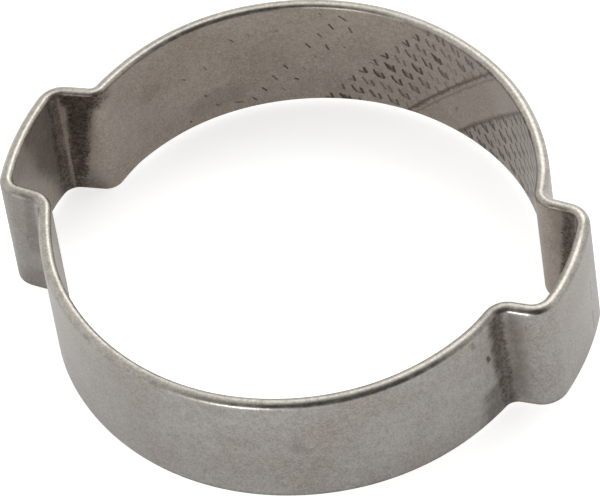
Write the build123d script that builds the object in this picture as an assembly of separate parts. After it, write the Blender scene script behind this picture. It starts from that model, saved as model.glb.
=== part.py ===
from build123d import *
import os

# Two-ear hose clamp, open as supplied. It is one closed ring, cut from stainless steel tube,
# with two ears pressed out of it opposite each other. Squeezing the ears shut tightens the ring.
# Sizes are in millimetres. The hose axis is Z, the ears lie along X, and the origin is on the
# hose axis at the middle of the band's width.

# Ring
bore_diameter = 28.0
wall = 0.7
band_width = 8.6
outer_rounding = 0.25        # tumbled outer edge of each rim
inner_bevel = 0.12           # broken inner edge of each rim, so that it can't cut the hose

# Ears, measured on the midline of the wall
leg_spacing_at_ring = 7.8
leg_spacing_at_crown = 7.6
ear_height = 2.05            # from the ring out to the crown's two corners, along X
crown_rise = 0.47            # arch of the crown above its corners
root_bend = 0.7              # reverse bend from the ring into a leg
corner_bend = 1.25           # bend from a leg into the crown

# Pressing spreads the band at its tight bends, so both rims stand a little proud over the legs
leg_swell = 0.18             # added at each rim, at the middle of a leg
swell_reach = 2.1            # distance along Y over which the swelling fades to nothing

midline_radius = (bore_diameter + wall) / 2
half_width = band_width / 2


def ear_area(side):
    """Area of one ear inside the midline, with sharp corners and its foot inside the ring."""
    leg_y = leg_spacing_at_ring / 2
    corner_y = leg_spacing_at_crown / 2
    root_x = (midline_radius**2 - leg_y**2) ** 0.5
    corner_x = midline_radius + ear_height
    taper = (leg_y - corner_y) / (corner_x - root_x)
    foot_x = root_x - wall
    foot_y = leg_y + taper * wall
    lower_leg = Line((side * foot_x, -foot_y), (side * corner_x, -corner_y))
    crown_top = (side * (corner_x + crown_rise), 0)
    crown = ThreePointArc(lower_leg @ 1, crown_top, (side * corner_x, corner_y))
    upper_leg = Line(crown @ 1, (side * foot_x, foot_y))
    foot = Line(upper_leg @ 1, lower_leg @ 0)
    return make_face([lower_leg, crown, upper_leg, foot])


def midline_area():
    """Area inside the midline of the whole band: the round, its two ears and their eight bends."""
    area = Circle(midline_radius) + [ear_area(side) for side in (1, -1)]
    corners = area.vertices().sort_by(lambda point: abs(point.X))[-4:]
    area = fillet(corners, corner_bend)
    roots = area.vertices().filter_by(lambda point: abs(point.center().length - midline_radius) < 0.001)
    return fillet(roots, root_bend)


def rim_line():
    """Upper rim seen along X: level, with a low swelling over the legs on either side."""
    swell_y = (leg_spacing_at_ring + leg_spacing_at_crown) / 4
    end_y = bore_diameter
    lines = []
    start = (-end_y, half_width)
    for centre in (-swell_y, swell_y):
        half_up = half_width + leg_swell / 2
        level = Line(start, (centre - swell_reach, half_width))
        rise = TangentArc(level @ 1, (centre - swell_reach / 2, half_up), tangent=(1, 0))
        crest = TangentArc(rise @ 1, (centre + swell_reach / 2, half_up), tangent=rise % 1)
        fall = TangentArc(crest @ 1, (centre + swell_reach, half_width), tangent=crest % 1)
        lines += [level, rise, crest, fall]
        start = fall @ 1
    return lines + [Line(start, (end_y, half_width))]


def rim_slab():
    """Solid between the two rims, larger than the clamp all round."""
    upper = Curve() + rim_line()
    lower = mirror(upper, about=Plane.XZ)
    ends = [Line(upper @ at, lower @ at) for at in (0, 1)]
    side_view = make_face(upper.edges() + lower.edges() + ends)
    return extrude(Plane.YZ * side_view, bore_diameter, both=True)


def rim_corners(solid):
    """Edges where an upright wall turns sharply into a rim."""
    rims = solid.faces().filter_by(lambda face: abs(face.normal_at().Z) > 0.9)
    walls = solid.faces().filter_by(lambda face: abs(face.normal_at().Z) < 0.1)
    wall_edges = walls.edges()
    return [edge for edge in rims.edges() if edge in wall_edges]


def clamp_ring():
    """The whole clamp: outer form cut to width and rounded, then bored to the wall thickness."""
    area = midline_area()
    depth = half_width + leg_swell
    band = extrude(offset(area, wall / 2), depth, both=True) & rim_slab()
    band = fillet(rim_corners(band), outer_rounding)
    band -= extrude(offset(area, -wall / 2), depth, both=True)
    return chamfer(rim_corners(band), inner_bevel)


os.makedirs("parts", exist_ok=True)
export_step(clamp_ring(), "parts/clamp_ring.step")
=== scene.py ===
import math

import bpy
import numpy as np
from mathutils import Matrix, Vector


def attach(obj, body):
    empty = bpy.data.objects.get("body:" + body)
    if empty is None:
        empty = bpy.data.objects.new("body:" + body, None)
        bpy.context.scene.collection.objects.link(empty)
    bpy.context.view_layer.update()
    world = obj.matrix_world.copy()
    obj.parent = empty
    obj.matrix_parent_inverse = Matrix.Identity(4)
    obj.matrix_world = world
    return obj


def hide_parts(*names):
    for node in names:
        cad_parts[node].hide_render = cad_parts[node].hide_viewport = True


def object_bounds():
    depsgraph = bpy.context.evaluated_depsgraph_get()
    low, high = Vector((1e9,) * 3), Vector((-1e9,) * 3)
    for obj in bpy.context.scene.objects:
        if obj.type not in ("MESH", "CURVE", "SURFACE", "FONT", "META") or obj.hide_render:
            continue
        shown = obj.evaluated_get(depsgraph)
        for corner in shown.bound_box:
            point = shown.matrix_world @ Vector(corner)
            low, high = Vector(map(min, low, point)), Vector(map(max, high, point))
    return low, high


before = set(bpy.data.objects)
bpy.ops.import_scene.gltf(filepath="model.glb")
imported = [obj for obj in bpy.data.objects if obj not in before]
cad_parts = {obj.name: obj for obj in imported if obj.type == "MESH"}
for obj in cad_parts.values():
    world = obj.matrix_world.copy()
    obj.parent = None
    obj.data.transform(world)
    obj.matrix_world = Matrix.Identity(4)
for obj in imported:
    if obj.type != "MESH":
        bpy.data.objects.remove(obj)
cadLow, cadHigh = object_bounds()
print("frame loaded")


# the band is a bent midline that carries one cross-section all the way round, lengths in metres
band = {
    "wall": 0.00076,
    "halfWidth": 0.00435,
    "cadWall": 0.0007,
    "oval": 0.0026,               # the ring is this much longer along y and shorter along x
    "leftEarTurn": 0.0109,        # radians off the line through the right ear
    "leftEarTurnFrom": 0.9,       # the share of the way across at which that turn is complete
    "outerRounding": 0.00039,     # height of the worn outer edge of each rim
    "innerRounding": 0.00028,     # the inner edge is worn a little less
    "rimCrest": -0.00007,         # where a rim is highest, off the middle of the wall towards the bore
    "roundingPower": 2.0,         # 2 is an ellipse, more is squarer
    "swellReach": 0.0024,
    "crownRadius": 0.0157,
    # from the hose axis out to the ends of an ear's legs, and to the middle of its crown
    "rightEar": (0.016465, 0.016841),
    "leftEar": (0.016406, 0.016794),
    # where the ring is pressed off its oval: degrees from the right ear, reach in degrees, how far outwards
    "drifts": [(17, 7, -0.00020), (50, 18, 0.00010), (138, 20, 0.00012), (203, 12, -0.00013),
               (290, 18, -0.00004)],
    "ringStep": 0.00017,          # mesh size along the ring
    "bendStep": 0.00007,          # and round the bends
    "faceRows": 34,
    "outerRows": 13,
    "innerRows": 10,
    # each leg as it was pressed: half spacings and bends on the midline, and how far its rims stand proud
    "legs": {
        "rightUpper": {"atRing": 0.00400, "atCrown": 0.00390, "rootBend": 0.00092, "cornerBend": 0.00117,
                       "swellUp": 0.00026, "swellDown": 0.0},
        "leftUpper": {"atRing": 0.00404, "atCrown": 0.00353, "rootBend": 0.00078, "cornerBend": 0.00129,
                      "swellUp": 0.00003, "swellDown": 0.00024},
        "leftLower": {"atRing": 0.00393, "atCrown": 0.00382, "rootBend": 0.00112, "cornerBend": 0.00100,
                      "swellUp": 0.0, "swellDown": 0.00024},
        "rightLower": {"atRing": 0.00367, "atCrown": 0.00336, "rootBend": 0.00117, "cornerBend": 0.00124,
                       "swellUp": 0.00018, "swellDown": 0.00005},
    },
}
# which way x and y point at each leg
legSides = {"rightUpper": (1, 1), "leftUpper": (-1, 1), "leftLower": (-1, -1), "rightLower": (1, -1)}

halfWidth = band["halfWidth"]
ringRadius = cadHigh.y - band["cadWall"] / 2


def eased(share):
    return share * share * (3 - 2 * share)


def pointAhead(start, direction, middle, reach):
    # the point on a line, ahead of start, that lies at this distance from middle
    gap = start - middle
    along = gap.dot(direction)
    return start + direction * (math.sqrt(along * along - gap.dot(gap) + reach * reach) - along)


def arcPoints(middle, radius, fromAngle, toAngle, step):
    # points round an arc, without its last one
    count = max(2, math.ceil(radius * abs(toAngle - fromAngle) / step))
    angles = [fromAngle + (toAngle - fromAngle) * index / count for index in range(count)]
    return [middle + Vector((math.cos(angle), math.sin(angle))) * radius for angle in angles]


def quarterPoints(leg, ear):
    # from the crown's middle round its corner, down the leg, round the root and a quarter of the ring
    origin = Vector((0, 0))
    root = Vector((math.sqrt(ringRadius**2 - leg["atRing"]**2), leg["atRing"]))
    legReach, crownTop = ear
    corner = Vector((legReach, leg["atCrown"]))
    along = (corner - root).normalized()
    inward = Vector((along.y, -along.x))
    crownRadius, cornerBend, rootBend = band["crownRadius"], leg["cornerBend"], leg["rootBend"]
    crownMiddle = Vector((crownTop - crownRadius, 0))
    cornerMiddle = pointAhead(root + inward * cornerBend, along, crownMiddle, crownRadius - cornerBend)
    rootMiddle = pointAhead(root - inward * rootBend, along, origin, ringRadius + rootBend)
    crownEnd = math.atan2(*(cornerMiddle - crownMiddle).yx)
    cornerEnd = math.atan2(-inward.y, -inward.x)
    rootStart = math.atan2(inward.y, inward.x)
    rootEnd = math.atan2(*rootMiddle.yx) - math.pi
    legStart = cornerMiddle - inward * cornerBend
    legEnd = rootMiddle + inward * rootBend
    legCount = math.ceil((legEnd - legStart).length / band["bendStep"])
    rows = arcPoints(crownMiddle, crownRadius, 0, crownEnd, band["ringStep"])
    rows += arcPoints(cornerMiddle, cornerBend, crownEnd, cornerEnd, band["bendStep"])
    rows += [legStart.lerp(legEnd, index / legCount) for index in range(legCount)]
    rows += arcPoints(rootMiddle, rootBend, rootStart, rootEnd, band["bendStep"])
    rows += arcPoints(origin, ringRadius, rootEnd + math.pi, math.pi / 2, band["ringStep"])
    rows.append(Vector((0, ringRadius)))
    return rows


def midline():
    # the closed midline, counter-clockwise from the middle of the right crown, with its outward normals
    points = []
    for name, (flipX, flipY) in legSides.items():
        rows = quarterPoints(band["legs"][name], band["rightEar" if flipX > 0 else "leftEar"])
        if flipX * flipY < 0:
            rows.reverse()
        points += [(point.x * flipX, point.y * flipY) for point in rows[:-1]]
    x, y = np.array(points).T
    reach, angle = np.hypot(x, y), np.degrees(np.arctan2(y, x))
    # the drifts fade out along the legs
    legEnd = band["leftEar"][0]
    onRing = np.clip((legEnd - reach) / (legEnd - ringRadius), 0, 1)
    for middle, width, outwards in band["drifts"]:
        away = (angle - middle + 180) % 360 - 180
        reach = reach + outwards * onRing * np.exp(-(away / width) ** 2)
    angle = np.radians(angle)
    angle = angle + band["leftEarTurn"] * eased(np.clip(-np.cos(angle) / band["leftEarTurnFrom"], 0, 1))
    x = reach * np.cos(angle) * (1 - band["oval"])
    y = reach * np.sin(angle) * (1 + band["oval"])
    points = np.stack([x, y], axis=1)
    gaps = np.roll(points, -1, 0) - points
    steps = np.linalg.norm(gaps, axis=1, keepdims=True)
    ahead, behind = gaps / steps, np.roll(gaps / steps, 1, 0)
    tangents = ahead * np.roll(steps, 1, 0) + behind * steps
    tangents /= np.linalg.norm(tangents, axis=1, keepdims=True)
    normals = np.stack([tangents[:, 1], -tangents[:, 0]], axis=1)
    return points, normals, np.concatenate([[0], np.cumsum(steps)])


def crossSection():
    # once round the section: across the wall, up the band, and how far up a rim's rounding
    wall, crest = band["wall"] / 2, band["rimCrest"]
    power = 2 / band["roundingPower"]
    rows = []
    for end in (1, -1):
        low = halfWidth - (band["innerRounding"] if end > 0 else band["outerRounding"])
        high = halfWidth - (band["outerRounding"] if end > 0 else band["innerRounding"])
        for index in range(band["faceRows"]):
            share = index / band["faceRows"]
            rows.append((end * wall, end * ((low + high) * share - low), 0))
        edges = [(wall, band["outerRounding"], band["outerRows"]),
                 (-wall, band["innerRounding"], band["innerRows"])]
        for edge, height, count in (edges if end > 0 else edges[::-1]):
            for index in range(count):
                angle = math.pi / 2 * index / count
                if edge * end < 0:
                    angle = math.pi / 2 - angle
                rise = math.sin(angle) ** power
                across = crest + (edge - crest) * abs(math.cos(angle)) ** power
                rows.append((across, end * (halfWidth - height + height * rise), rise))
    return np.array(rows)


def bandMesh():
    points, normals, run = midline()
    across, upward, rimShare = crossSection().T
    count, loop = len(points), len(across)
    swellUp, swellDown = np.zeros(count), np.zeros(count)
    for name, leg in band["legs"].items():
        flipX, flipY = legSides[name]
        middle = (leg["atRing"] + leg["atCrown"]) / 2
        near = np.clip(1 - abs(points[:, 1] * flipY - middle) / band["swellReach"], 0, 1)
        share = np.where(points[:, 0] * flipX > ringRadius / 2, eased(near), 0)
        swellUp += share * leg["swellUp"]
        swellDown += share * leg["swellDown"]
    height = upward / halfWidth
    lift = np.outer(swellUp, np.clip(height, 0, 1)) + np.outer(swellDown, np.clip(height, -1, 0))
    x = points[:, 0, None] + normals[:, 0, None] * across
    y = points[:, 1, None] + normals[:, 1, None] * across
    verts = np.stack([x, y, upward + lift], axis=2).reshape(-1, 3)
    ring, turn = np.arange(count)[:, None], np.arange(loop)[None, :]
    nextRing, nextTurn = (ring + 1) % count, (turn + 1) % loop
    here, ahead = ring * loop, nextRing * loop
    corners = (here + turn, ahead + turn, ahead + nextTurn, here + nextTurn)
    mesh = bpy.data.meshes.new("clampBand")
    mesh.from_pydata(verts.tolist(), [], np.stack(corners, axis=2).reshape(-1, 4).tolist())
    mesh.shade_smooth()
    # the band laid flat, in millimetres: along it, and up it from the middle of its width
    flat = np.zeros((count, loop, 4, 2))
    flat[..., 0] = np.stack([run[:-1], run[1:], run[1:], run[:-1]], axis=1)[:, None, :]
    flat[..., 1] = np.stack([upward, upward, np.roll(upward, -1), np.roll(upward, -1)], axis=1)[None, :, :]
    uv = mesh.uv_layers.new(name="laidFlat")
    uv.data.foreach_set("uv", (flat * 1000).astype(np.float32).ravel())
    for name, values in (("rimShare", rimShare), ("insideShare", 0.5 - across / band["wall"])):
        attribute = mesh.attributes.new(name, "FLOAT", "POINT")
        attribute.data.foreach_set("value", np.tile(values, count).astype(np.float32))
    return mesh


clampBand = bpy.data.objects.new("clamp_band", bandMesh())
bpy.context.scene.collection.objects.link(clampBand)
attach(clampBand, "root")
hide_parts("clamp_ring")
print("band made,", len(clampBand.data.polygons) * 2, "triangles")


# node helpers: every one returns the socket that the next step reads

def plug(tree, value, socket):
    if isinstance(value, bpy.types.NodeSocket):
        tree.links.new(value, socket)
    else:
        socket.default_value = value


def calc(tree, operation, *values):
    node = tree.nodes.new("ShaderNodeMath")
    node.operation = operation
    for value, socket in zip(values, node.inputs):
        plug(tree, value, socket)
    return node.outputs[0]


def vectorCalc(tree, operation, *values):
    node = tree.nodes.new("ShaderNodeVectorMath")
    node.operation = operation
    for value, socket in zip(values, node.inputs):
        plug(tree, value, socket)
    return node.outputs["Value" if operation in ("DOT_PRODUCT", "LENGTH") else "Vector"]


def scaled(tree, vector, amount):
    node = tree.nodes.new("ShaderNodeVectorMath")
    node.operation = "SCALE"
    plug(tree, vector, node.inputs[0])
    plug(tree, amount, node.inputs["Scale"])
    return node.outputs[0]


def joined(tree, x, y, z=0.0):
    node = tree.nodes.new("ShaderNodeCombineXYZ")
    for value, socket in zip((x, y, z), node.inputs):
        plug(tree, value, socket)
    return node.outputs[0]


def split(tree, vector):
    node = tree.nodes.new("ShaderNodeSeparateXYZ")
    plug(tree, vector, node.inputs[0])
    return node.outputs


def ramp(tree, value, low, high, start=0.0, end=1.0):
    # a smooth step: start below low, end above high
    node = tree.nodes.new("ShaderNodeMapRange")
    node.interpolation_type = "SMOOTHSTEP"
    given = {"Value": value, "From Min": low, "From Max": high, "To Min": start, "To Max": end}
    for name, item in given.items():
        plug(tree, item, node.inputs[name])
    return node.outputs["Result"]


def mixed(tree, factor, first, second, how="MIX"):
    node = tree.nodes.new("ShaderNodeMix")
    node.data_type = "RGBA"
    node.blend_type = how
    plug(tree, factor, node.inputs["Factor"])
    plug(tree, first, node.inputs[6])
    plug(tree, second, node.inputs[7])
    return node.outputs[2]


def noise(tree, point, size, detail=2.0, roughness=0.5):
    # size is the size of one cloud, in the units of point
    node = tree.nodes.new("ShaderNodeTexNoise")
    plug(tree, point, node.inputs["Vector"])
    node.inputs["Scale"].default_value = 1 / size
    node.inputs["Detail"].default_value = detail
    node.inputs["Roughness"].default_value = roughness
    return node.outputs["Fac"]


def attributeValue(tree, name):
    node = tree.nodes.new("ShaderNodeAttribute")
    node.attribute_name = name
    return node.outputs["Fac"]


def newGroup(name, inputs, outputs):
    group = bpy.data.node_groups.new(name, "ShaderNodeTree")
    for label, kind in inputs.items():
        group.interface.new_socket(name=label, in_out="INPUT", socket_type="NodeSocket" + kind)
    for label, kind in outputs.items():
        group.interface.new_socket(name=label, in_out="OUTPUT", socket_type="NodeSocket" + kind)
    return group, group.nodes.new("NodeGroupInput").outputs, group.nodes.new("NodeGroupOutput").inputs


def useGroup(tree, group, **values):
    node = tree.nodes.new("ShaderNodeGroup")
    node.node_tree = group
    for label, value in values.items():
        plug(tree, value, node.inputs[label])
    return node.outputs


def strokeGroup():
    # one straight dent from Start to End, 1 inside it and 0 outside
    inputs = {"Point": "Vector", "Start": "Vector", "End": "Vector", "Width": "Float"}
    group, given, out = newGroup("dentStroke", inputs, {"Mask": "Float"})
    whole = vectorCalc(group, "SUBTRACT", given["End"], given["Start"])
    here = vectorCalc(group, "SUBTRACT", given["Point"], given["Start"])
    share = calc(group, "DIVIDE", vectorCalc(group, "DOT_PRODUCT", here, whole),
                 vectorCalc(group, "DOT_PRODUCT", whole, whole))
    share = calc(group, "MINIMUM", calc(group, "MAXIMUM", share, 0.0), 1.0)
    away = vectorCalc(group, "LENGTH", vectorCalc(group, "SUBTRACT", here, scaled(group, whole, share)))
    core = calc(group, "MULTIPLY", given["Width"], 0.35)
    plug(group, ramp(group, away, core, given["Width"], 1.0, 0.0), out["Mask"])
    return group


def stainGroup():
    # a stripe up the band that fades out by its half width and breaks up into specks
    inputs = {name: "Float" for name in ("Along", "Up", "Ragged", "Middle", "Slant", "Half Width",
                                         "Lowest", "Highest")}
    group, given, out = newGroup("bendStripe", inputs, {"Mask": "Float"})
    fade = 1.2
    middle = calc(group, "MULTIPLY_ADD", given["Up"], given["Slant"], given["Middle"])
    away = calc(group, "ABSOLUTE", calc(group, "SUBTRACT", given["Along"], middle))
    core = calc(group, "MULTIPLY", given["Half Width"], 0.25)
    soft = ramp(group, away, core, given["Half Width"], 1.0, 0.0)
    above = ramp(group, given["Up"], given["Lowest"], calc(group, "ADD", given["Lowest"], fade))
    fadeStart = calc(group, "SUBTRACT", given["Highest"], fade)
    below = ramp(group, given["Up"], fadeStart, given["Highest"], 1.0, 0.0)
    soft = calc(group, "MULTIPLY", soft, calc(group, "MULTIPLY", above, below))
    broken = ramp(group, calc(group, "ADD", soft, given["Ragged"]), 0.0, 1.05)
    plug(group, calc(group, "MULTIPLY", broken, ramp(group, soft, 0.0, 0.45)), out["Mask"])
    return group


dentStroke = strokeGroup()
bendStripe = stainGroup()


def drawStroke(tree, point, start, end, width):
    return useGroup(tree, dentStroke, Point=point, Start=(*start, 0), End=(*end, 0), Width=width)["Mask"]


# the roller's marks inside the band, in millimetres on the band laid flat
rollerMarks = {
    "lastDent": (25.75, -0.21),   # one dent of the pattern's last column
    "columnStep": (1.12, 0.225),
    "rowStep": (0.771, -0.89),
    "waver": 0.26,                # how far the dents and lines stray from their places
    "waverScale": 2.2,
    # a dent is a tick of three strokes, some of them filled in: from, to, about its middle
    "leftStroke": ((-0.3, -0.36), (-0.19, 0.1)),
    "footStroke": ((-0.3, -0.36), (0.1, -0.22)),
    "rightStroke": ((0.10, -0.22), (0.35, 0.31)),
    "filling": ((-0.12, -0.16), (0.14, 0.1)),
    "strokeWidth": 0.13,
    "fillingWidth": 0.2,
    "strayWidth": 0.09,
    "dentDepth": 0.03,
    "dentColour": (0.040, 0.030, 0.023, 1),
    "lineDepth": 0.02,
    "lineColour": (0.075, 0.050, 0.031, 1),
    # thin lines along the columns: place in column steps, half width, strength
    "lines": [(-4.05, 0.27, 1.0), (-4.42, 0.15, 0.5), (-6.76, 0.31, 1.0), (-11.75, 0.36, 0.6)],
    # stray strokes beyond the last column: from, to, strength
    "strayStrokes": [
        ((27.07, 3.24), (27.45, 3.56), 0.8), ((28.5, 3.6), (28.62, 3.72), 0.5),
        ((26.8, 2.18), (26.94, 2.56), 0.75), ((27.92, 2.33), (28.14, 2.74), 0.95),
        ((28.7, 1.55), (28.88, 1.86), 0.7), ((29.48, 0.6), (29.7, 0.93), 0.9),
        ((28.38, 0.42), (28.5, 0.8), 0.85), ((27.36, 0.68), (27.4, 0.74), 0.6),
        ((27.6, 1.3), (27.68, 1.5), 0.3), ((31.02, -1.2), (31.2, -0.88), 0.85),
        ((31.75, -2.1), (31.98, -1.7), 0.7), ((30.48, -2.28), (30.66, -2.2), 1.0),
        ((32.46, -2.98), (32.68, -2.66), 0.9), ((33.15, -3.66), (33.34, -3.38), 0.8),
        ((34.0, -3.54), (34.44, -3.38), 0.7), ((35.46, -3.2), (35.64, -3.0), 0.6),
        ((36.14, -1.96), (36.24, -1.84), 0.7), ((35.9, 0.36), (35.98, 0.66), 0.5),
        ((37.3, 0.26), (37.5, 0.44), 0.6), ((37.38, -3.6), (37.42, -3.56), 0.9),
        ((33.98, 2.06), (34.16, 2.3), 0.65), ((32.96, 2.2), (33.06, 2.42), 0.4),
        ((31.26, 2.24), (31.36, 2.36), 0.4), ((29.16, -0.42), (29.28, -0.2), 0.3),
        ((29.96, -1.4), (30.06, -1.2), 0.3), ((31.34, -3.2), (31.5, -3.0), 0.4),
        ((23.3, 3.9), (23.5, 4.1), 0.4),
    ],
}


def tickDents(group, local, chance, columnIndex):
    # one tick shape in every cell, with its foot and filling by chance
    def stroke(name, width="strokeWidth"):
        return drawStroke(group, local, *rollerMarks[name], rollerMarks[width])

    # the last column has neither the right stroke nor the filling
    whole = calc(group, "LESS_THAN", columnIndex, -0.5)
    foot = calc(group, "MULTIPLY", stroke("footStroke"), ramp(group, chance, 0.0, 0.6, 0.2, 0.75))
    right = calc(group, "MULTIPLY", stroke("rightStroke"), whole)
    filled = calc(group, "MULTIPLY", whole, ramp(group, chance, 0.35, 0.9, 0.1, 0.85))
    filling = calc(group, "MULTIPLY", stroke("filling", "fillingWidth"), filled)
    return calc(group, "MAXIMUM", calc(group, "MAXIMUM", stroke("leftStroke"), foot),
                calc(group, "MAXIMUM", right, filling))


def rollerMarkGroup():
    # a slanted field of small dents with a plain stripe across it, thin lines beside it, and stray strokes
    inputs, outputs = {"Along": "Float", "Up": "Float"}, {"Dents": "Float", "Lines": "Float"}
    group, given, out = newGroup("rollerMarks", inputs, outputs)
    straight = joined(group, given["Along"], given["Up"])
    waver = group.nodes.new("ShaderNodeTexNoise")
    plug(group, straight, waver.inputs["Vector"])
    waver.inputs["Scale"].default_value = rollerMarks["waverScale"]
    waver.inputs["Detail"].default_value = 3
    shift = vectorCalc(group, "SUBTRACT", waver.outputs["Color"], (0.5, 0.5, 0.5))
    flat = vectorCalc(group, "ADD", straight, scaled(group, shift, rollerMarks["waver"]))

    # column and row of the dent that is nearest, and the place inside its cell
    startX, startY = rollerMarks["lastDent"]
    columnX, columnY = rollerMarks["columnStep"]
    rowX, rowY = rollerMarks["rowStep"]
    area = columnX * rowY - columnY * rowX
    x, y, _ = split(group, vectorCalc(group, "SUBTRACT", flat, (startX, startY, 0)))
    column = calc(group, "MULTIPLY_ADD", x, rowY / area, calc(group, "MULTIPLY", y, -rowX / area))
    row = calc(group, "MULTIPLY_ADD", x, -columnY / area, calc(group, "MULTIPLY", y, columnX / area))
    columnIndex, rowIndex = calc(group, "ROUND", column), calc(group, "ROUND", row)
    inColumn, inRow = calc(group, "SUBTRACT", column, columnIndex), calc(group, "SUBTRACT", row, rowIndex)
    localX = calc(group, "MULTIPLY_ADD", inColumn, columnX, calc(group, "MULTIPLY", inRow, rowX))
    localY = calc(group, "MULTIPLY_ADD", inColumn, columnY, calc(group, "MULTIPLY", inRow, rowY))
    chance = group.nodes.new("ShaderNodeTexWhiteNoise")
    plug(group, joined(group, columnIndex, rowIndex, 4.0), chance.inputs["Vector"])
    chance = chance.outputs["Value"]

    # firm by the last column, faint towards the plain stripe, and firm again on its far side
    stripeFrom, stripeTo, farEnd = (rollerMarks["lines"][index][0] for index in (0, 2, 3))
    nearField = calc(group, "MULTIPLY", ramp(group, columnIndex, -4.2, -1.9, 0.4, 1.0),
                     calc(group, "LESS_THAN", columnIndex, 0.5))
    nearField = calc(group, "MULTIPLY", nearField, calc(group, "GREATER_THAN", column, stripeFrom))
    beyond = calc(group, "COMPARE", column, (stripeTo + farEnd) / 2, (stripeTo - farEnd) / 2)
    farField = calc(group, "MULTIPLY", beyond, ramp(group, column, -13.0, -9.0, 0.8, 1.35))
    field = calc(group, "MULTIPLY", calc(group, "ADD", nearField, farField),
                 ramp(group, chance, 0.0, 0.5, 0.55, 1.0))
    ticks = tickDents(group, joined(group, localX, localY), chance, columnIndex)
    dents = calc(group, "MULTIPLY", ticks, field)
    for start, end, strength in rollerMarks["strayStrokes"]:
        mark = drawStroke(group, straight, start, end, rollerMarks["strayWidth"])
        dents = calc(group, "MAXIMUM", dents, calc(group, "MULTIPLY", mark, strength))
    plug(group, dents, out["Dents"])

    lines = 0.0
    thickness = ramp(group, waver.outputs["Fac"], 0.3, 0.7, 0.45, 1.3)
    for place, halfWide, strength in rollerMarks["lines"]:
        away = calc(group, "ABSOLUTE", calc(group, "SUBTRACT", column, place))
        line = ramp(group, away, 0.01, calc(group, "MULTIPLY", thickness, halfWide), strength, 0.0)
        lines = calc(group, "MAXIMUM", line, lines)
    plug(group, lines, out["Lines"])
    return group


# finish of the steel: colours are linear, sizes and places in millimetres
steel = {
    "outerFace": (0.248, 0.233, 0.218, 1),
    "innerFace": (0.232, 0.202, 0.172, 1),
    "rim": (0.41, 0.385, 0.345, 1),
    "sootAndShade": (0.048, 0.034, 0.024, 1),
    "warmth": (1.06, 0.92, 0.84, 1),
    "grainSize": 0.13,
    "mottleSize": 0.55,
    "cloudSize": 4.0,
    "raggedSize": 0.9,
    "fleckSize": 0.22,
    "grainHeight": 0.003,
    "mottleHeight": 0.006,
    "bumpStrength": 0.6,
    "faceRoughness": 0.42,
    "rimRoughness": 0.34,
    # stripes of soot and tarnish at the bends, some of them painted shade as well: middle, slant, half
    # width, lowest, highest, strength
    "outerStains": [
        (92.0, -0.03, 1.15, -6.0, 6.0, 0.80),
        (92.8, -0.03, 1.5, -4.2, 4.6, 0.42),
        (92.0, 0.12, 2.4, -6.0, -0.6, 0.60),
        (54.5, 0.06, 0.7, -1.5, 6.0, 0.42),
        (53.9, 0.0, 1.5, -6.0, 6.0, 0.22),
        (53.9, 0.0, 1.5, -6.0, -1.8, 0.36),
    ],
    "innerStainsAndShade": [
        # the next four rows are tarnish and painted shade together: the left ear's inner leg, corner and
        # crown darkened as if shaded in its pocket, with a painted shadow along the top edge
        (44.85, -0.13, 1.15, -6.0, 6.0, 0.92),
        (46.3, -0.03, 1.15, -6.0, 6.0, 0.84),
        (44.7, 0.0, 2.7, 2.5, 7.0, 0.95),
        (46.9, 0.35, 2.7, -6.0, 6.0, 0.55),
        (4.75, -0.09, 0.95, -2.5, 6.0, 0.85),
        (4.3, 0.0, 1.8, -6.0, 6.0, 0.3),
        (55.2, 0.0, 1.5, -6.0, 6.0, 0.4),
        (93.0, 0.0, 1.6, -6.0, 6.0, 0.4),
    ],
    # a painted highlight: a light stripe up the left ear's inner corner bend, cut out of the painted shade
    # there
    "innerHighlightStripes": [(45.68, 0.0, 0.2, -5.4, 4.7, 0.42)],
    # single dark spots and scratches: from, to, half width, strength
    "outerSpots": [
        ((90.86, 1.6), (90.95, 1.2), 0.2, 0.85),
        ((94.0, 3.15), (94.06, 2.8), 0.12, 0.24),
        ((94.0, -1.25), (94.0, -1.5), 0.1, 0.26),
        ((92.25, -3.45), (92.5, -3.7), 0.36, 0.75),
        ((54.2, 2.85), (54.2, 2.45), 0.17, 0.24),
        ((54.12, 0.55), (54.16, 0.1), 0.18, 0.42),
        ((79.0, 0.35), (79.5, 0.2), 0.5, 0.22),
        ((89.8, 3.8), (90.0, 3.4), 0.2, 0.3),
        ((93.0, -0.9), (92.4, -1.1), 0.2, 0.35),
        ((90.2, -2.0), (91.9, -3.1), 0.1, 0.3),
        ((90.8, -1.7), (92.2, -2.5), 0.09, 0.3),
        ((1.84, 0.8), (1.8, -0.8), 0.08, 0.4),
        ((1.7, -1.8), (1.64, -3.4), 0.08, 0.4),
    ],
    "innerSpots": [
        ((5.45, -1.3), (5.5, -1.5), 0.14, 0.5),
        ((20.1, -1.8), (20.2, -2.1), 0.12, 0.5),
        ((34.6, -2.4), (36.6, -2.6), 1.2, 0.16),
        ((39.6, 1.1), (40.0, 0.8), 0.9, 0.14),
    ],
}


def stripes(tree, rows, along, up, ragged):
    total = 0.0
    for middle, slant, halfWide, lowest, highest, strength in rows:
        given = {"Along": along, "Up": up, "Ragged": ragged, "Middle": middle, "Slant": slant,
                 "Half Width": halfWide, "Lowest": lowest, "Highest": highest}
        stripe = calc(tree, "MULTIPLY", useGroup(tree, bendStripe, **given)["Mask"], strength)
        total = calc(tree, "MAXIMUM", stripe, total)
    return total


def withSpots(tree, total, rows, point):
    for start, end, halfWide, strength in rows:
        spot = drawStroke(tree, point, start, end, halfWide)
        total = calc(tree, "MAXIMUM", total, calc(tree, "MULTIPLY", spot, strength))
    return total


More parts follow.
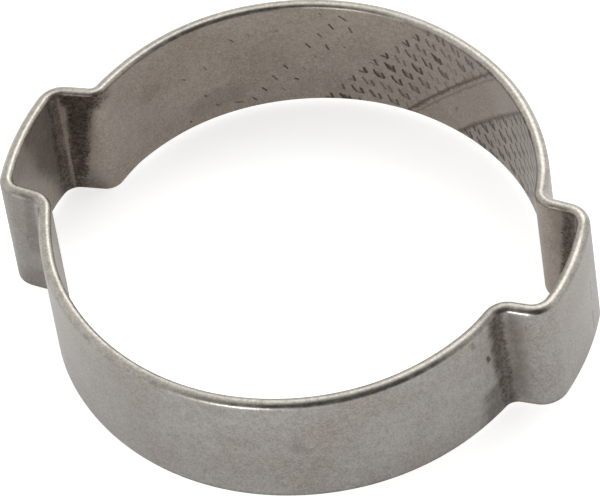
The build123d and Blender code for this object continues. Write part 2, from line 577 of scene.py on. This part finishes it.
def sootAndShadeMask(tree, point, along, up, grain, mottle, inside):
    # stained bends and single spots, on whichever face the point lies; inside the left ear the stripes are
    # partly painted shade, with a painted highlight cut out of them
    ragged = calc(tree, "MULTIPLY_ADD", noise(tree, point, steel["raggedSize"], 3.0, 0.5), 1.3, -0.65)
    ragged = calc(tree, "ADD", ragged, ramp(tree, grain, 0.33, 0.67, -0.28, 0.28))
    flecks = ramp(tree, noise(tree, point, steel["fleckSize"], 3.0, 0.6), 0.4, 0.62, 0.82, 1.12)
    # spots keep a rough outline, because their place is shaken by the same clouds
    here = joined(tree, calc(tree, "MULTIPLY_ADD", ragged, 0.13, along),
                  calc(tree, "MULTIPLY_ADD", mottle, 1.2, calc(tree, "SUBTRACT", up, 0.6)))
    # the painted highlight takes the dark away again along the left ear's inner corner
    highlightCut = calc(tree, "SUBTRACT", 1.0, stripes(tree, steel["innerHighlightStripes"], along, up, ragged))
    within = calc(tree, "MULTIPLY", stripes(tree, steel["innerStainsAndShade"], along, up, ragged), highlightCut)
    within = calc(tree, "MULTIPLY", withSpots(tree, within, steel["innerSpots"], here), inside)
    without = stripes(tree, steel["outerStains"], along, up, ragged)
    without = withSpots(tree, without, steel["outerSpots"], here)
    without = calc(tree, "MULTIPLY", without, calc(tree, "SUBTRACT", 1.0, inside))
    sootAndShade = calc(tree, "MULTIPLY", calc(tree, "MAXIMUM", within, without), flecks)
    return calc(tree, "MINIMUM", sootAndShade, 0.97)


def steelMaterial():
    material = bpy.data.materials.new("tumbledSteel")
    material.use_nodes = True
    tree = material.node_tree
    shader = tree.nodes["Principled BSDF"]
    shader.inputs["Metallic"].default_value = 1
    point = scaled(tree, tree.nodes.new("ShaderNodeTexCoord").outputs["Object"], 1000.0)
    flat = tree.nodes.new("ShaderNodeUVMap")
    flat.uv_map = "laidFlat"
    along, up, _ = split(tree, flat.outputs[0])
    inside = ramp(tree, attributeValue(tree, "insideShare"), 0.75, 1.0)
    rimShare = attributeValue(tree, "rimShare")

    grain = noise(tree, point, steel["grainSize"], 2.0, 0.6)
    mottle = noise(tree, point, steel["mottleSize"], 4.0, 0.6)
    elsewhere = vectorCalc(tree, "ADD", point, (31.0, 7.0, 3.0))
    cloud = noise(tree, elsewhere, steel["cloudSize"], 3.0, 0.55)

    # masks: the rims, the roller's marks, and the soot with the painted shade inside the left ear
    rim = ramp(tree, calc(tree, "MULTIPLY_ADD", mottle, 0.3, rimShare), 0.5, 0.95)
    marks = useGroup(tree, rollerMarkGroup(), Along=along, Up=up)
    onInside = calc(tree, "MULTIPLY", inside, calc(tree, "SUBTRACT", 1.0, rimShare))
    dents = calc(tree, "MULTIPLY", marks["Dents"], onInside)
    lines = calc(tree, "MULTIPLY", marks["Lines"], onInside)
    sootAndShade = sootAndShadeMask(tree, point, along, up, grain, mottle, inside)
    sootAndShade = calc(tree, "MULTIPLY", sootAndShade, calc(tree, "SUBTRACT", 1.0, calc(tree, "MULTIPLY", rim, 0.8)))

    face = mixed(tree, inside, steel["outerFace"], steel["innerFace"])
    face = mixed(tree, ramp(tree, cloud, 0.45, 0.75, 0.0, 0.35), face,
                 mixed(tree, 1.0, face, steel["warmth"], "MULTIPLY"))
    colour = mixed(tree, rim, face, steel["rim"])
    shade = ramp(tree, grain, 0.33, 0.67, 0.85, 1.15)
    shade = calc(tree, "ADD", shade, ramp(tree, mottle, 0.33, 0.67, -0.09, 0.09))
    shade = calc(tree, "ADD", shade, ramp(tree, cloud, 0.33, 0.67, 0.06, -0.06))
    colour = mixed(tree, 1.0, colour, joined(tree, shade, shade, shade), "MULTIPLY")
    colour = mixed(tree, calc(tree, "MULTIPLY", lines, 0.85), colour, rollerMarks["lineColour"])
    colour = mixed(tree, calc(tree, "MINIMUM", dents, 0.95), colour, rollerMarks["dentColour"])
    # soot, tarnish and the painted shade inside the left ear, in one dark colour
    colour = mixed(tree, sootAndShade, colour, steel["sootAndShade"])
    plug(tree, colour, shader.inputs["Base Color"])

    # the outer edges are rubbed smooth from the very start of their rounding, the inner ones only on top
    rubbed = calc(tree, "MULTIPLY_ADD", inside, -0.5, rimShare)
    roughness = ramp(tree, rubbed, 0.0, 0.45, steel["faceRoughness"], steel["rimRoughness"])
    roughness = calc(tree, "ADD", roughness, ramp(tree, mottle, 0.3, 0.7, -0.04, 0.05))
    roughness = calc(tree, "MULTIPLY_ADD", sootAndShade, 0.15, roughness)
    plug(tree, roughness, shader.inputs["Roughness"])

    height = calc(tree, "MULTIPLY", mottle, steel["mottleHeight"])
    height = calc(tree, "MULTIPLY_ADD", grain, steel["grainHeight"], height)
    height = calc(tree, "MULTIPLY", height, calc(tree, "MULTIPLY_ADD", rim, -0.8, 1.0))
    height = calc(tree, "SUBTRACT", height, calc(tree, "MULTIPLY", dents, rollerMarks["dentDepth"]))
    height = calc(tree, "SUBTRACT", height, calc(tree, "MULTIPLY", lines, rollerMarks["lineDepth"]))
    bump = tree.nodes.new("ShaderNodeBump")
    bump.inputs["Strength"].default_value = steel["bumpStrength"]
    bump.inputs["Distance"].default_value = 0.001
    plug(tree, height, bump.inputs["Height"])
    plug(tree, bump.outputs["Normal"], shader.inputs["Normal"])
    return material


clampBand.data.materials.append(steelMaterial())
print("steel made")


studio = {
    "floorSize": 1.6,
    "floorColour": (0.86, 0.86, 0.855, 1),
    "floorSpeck": (0.875, 0.875, 0.87, 1),
    "floorSpeckSize": 0.06,
    "floorGlow": 0.7,             # keeps the floor pale where it is seen, under a faint shadow
    "worldColour": (1, 0.995, 0.985, 1),
    "worldLevel": 0.95,
    "darkSide": (0.38, -0.62, 0.58),  # towards the dark end of the room
    "darkLevel": 0.05,
    "darkEdge": (0.52, 0.86),     # cosines off that direction: where it starts, where it is darkest
    "softboxAim": (0.02, 0.62, 0.78),
    "softboxDistance": 0.75,
    "softboxSize": (0.42, 0.54),
    "softboxPower": 1.6,
    "lowLampAim": (-0.03, -1.0, 0.10),
    "lowLampDistance": 0.5,
    "lowLampSize": (0.08, 0.05),
    "lowLampPower": 0.85,
}


def seenDirectly(tree):
    # 1 for rays that show the background itself: seen, mirrored or through glass
    path = tree.nodes.new("ShaderNodeLightPath").outputs
    glossy = calc(tree, "MAXIMUM", path["Is Camera Ray"], path["Is Glossy Ray"])
    return calc(tree, "MAXIMUM", glossy, path["Is Transmission Ray"])


def floorMaterial():
    material = bpy.data.materials.new("paleFloor")
    material.use_nodes = True
    tree = material.node_tree
    shader = tree.nodes["Principled BSDF"]
    point = tree.nodes.new("ShaderNodeTexCoord").outputs["Object"]
    speck = noise(tree, point, studio["floorSpeckSize"], 3.0)
    plug(tree, mixed(tree, speck, studio["floorColour"], studio["floorSpeck"]), shader.inputs["Base Color"])
    shader.inputs["Roughness"].default_value = 0.9
    shader.inputs["Emission Color"].default_value = (1, 1, 1, 1)
    glow = calc(tree, "MULTIPLY", seenDirectly(tree), studio["floorGlow"])
    plug(tree, glow, shader.inputs["Emission Strength"])
    return material


# the clamp stands on the proud lower rims of its legs
lowest = min(vertex.co.z for vertex in clampBand.data.vertices)
bpy.ops.mesh.primitive_plane_add(size=studio["floorSize"], location=(0, 0, lowest))
floor = bpy.context.object
floor.name = "floor"
floor.data.materials.append(floorMaterial())


def makeWorld():
    # an even pale room with one dark end, which draws the dark lines along the rims
    world = bpy.data.worlds.new("studio")
    bpy.context.scene.world = world
    world.use_nodes = True
    tree = world.node_tree
    background = tree.nodes["Background"]
    direction = tree.nodes.new("ShaderNodeTexCoord").outputs["Generated"]
    darkSide = tuple(Vector(studio["darkSide"]).normalized())
    facing = vectorCalc(tree, "DOT_PRODUCT", direction, darkSide)
    level = ramp(tree, facing, *studio["darkEdge"], studio["worldLevel"], studio["darkLevel"])
    seen = tree.nodes.new("ShaderNodeLightPath").outputs["Is Camera Ray"]
    level = calc(tree, "MAXIMUM", level, seen)
    background.inputs["Color"].default_value = studio["worldColour"]
    plug(tree, level, background.inputs["Strength"])


def makeLamp(name):
    data = bpy.data.lights.new(name, "AREA")
    data.shape = "RECTANGLE"
    data.size, data.size_y = studio[name + "Size"]
    data.energy = studio[name + "Power"]
    lamp = bpy.data.objects.new(name, data)
    aim = Vector(studio[name + "Aim"]).normalized()
    lamp.location = aim * studio[name + "Distance"]
    lamp.rotation_euler = aim.to_track_quat("Z", "Y").to_euler()
    lamp.visible_camera = False
    bpy.context.scene.collection.objects.link(lamp)


makeWorld()
makeLamp("softbox")
makeLamp("lowLamp")

# angles in degrees, lengths in metres, the lens in millimetres
cameraSetup = {
    "azimuth": 28.747,
    "elevation": 52.088,
    "roll": -9.237,
    "distance": 0.42082,
    "aim": (0.001058, -0.001985, 0.002572),
    "focalLength": 444.94,
}


def makeCamera():
    data = bpy.data.cameras.new("camera")
    data.sensor_width = 36
    data.lens = cameraSetup["focalLength"]
    data.clip_start, data.clip_end = 0.01, 5
    azimuth, elevation, roll = (math.radians(cameraSetup[key]) for key in ("azimuth", "elevation", "roll"))
    back = Vector((math.sin(azimuth) * math.cos(elevation), -math.cos(azimuth) * math.cos(elevation),
                   math.sin(elevation)))
    right = Vector((math.cos(azimuth), math.sin(azimuth), 0))
    up = back.cross(right)
    rolledRight = right * math.cos(roll) + up * math.sin(roll)
    rolledUp = up * math.cos(roll) - right * math.sin(roll)
    camera = bpy.data.objects.new("camera", data)
    turn = Matrix((rolledRight, rolledUp, back)).transposed().to_4x4()
    place = Vector(cameraSetup["aim"]) + back * cameraSetup["distance"]
    camera.matrix_world = Matrix.Translation(place) @ turn
    bpy.context.scene.collection.objects.link(camera)
    bpy.context.scene.camera = camera


makeCamera()
bpy.context.scene.view_settings.view_transform = "Standard"
print("studio set")

bpy.context.view_layer.update()
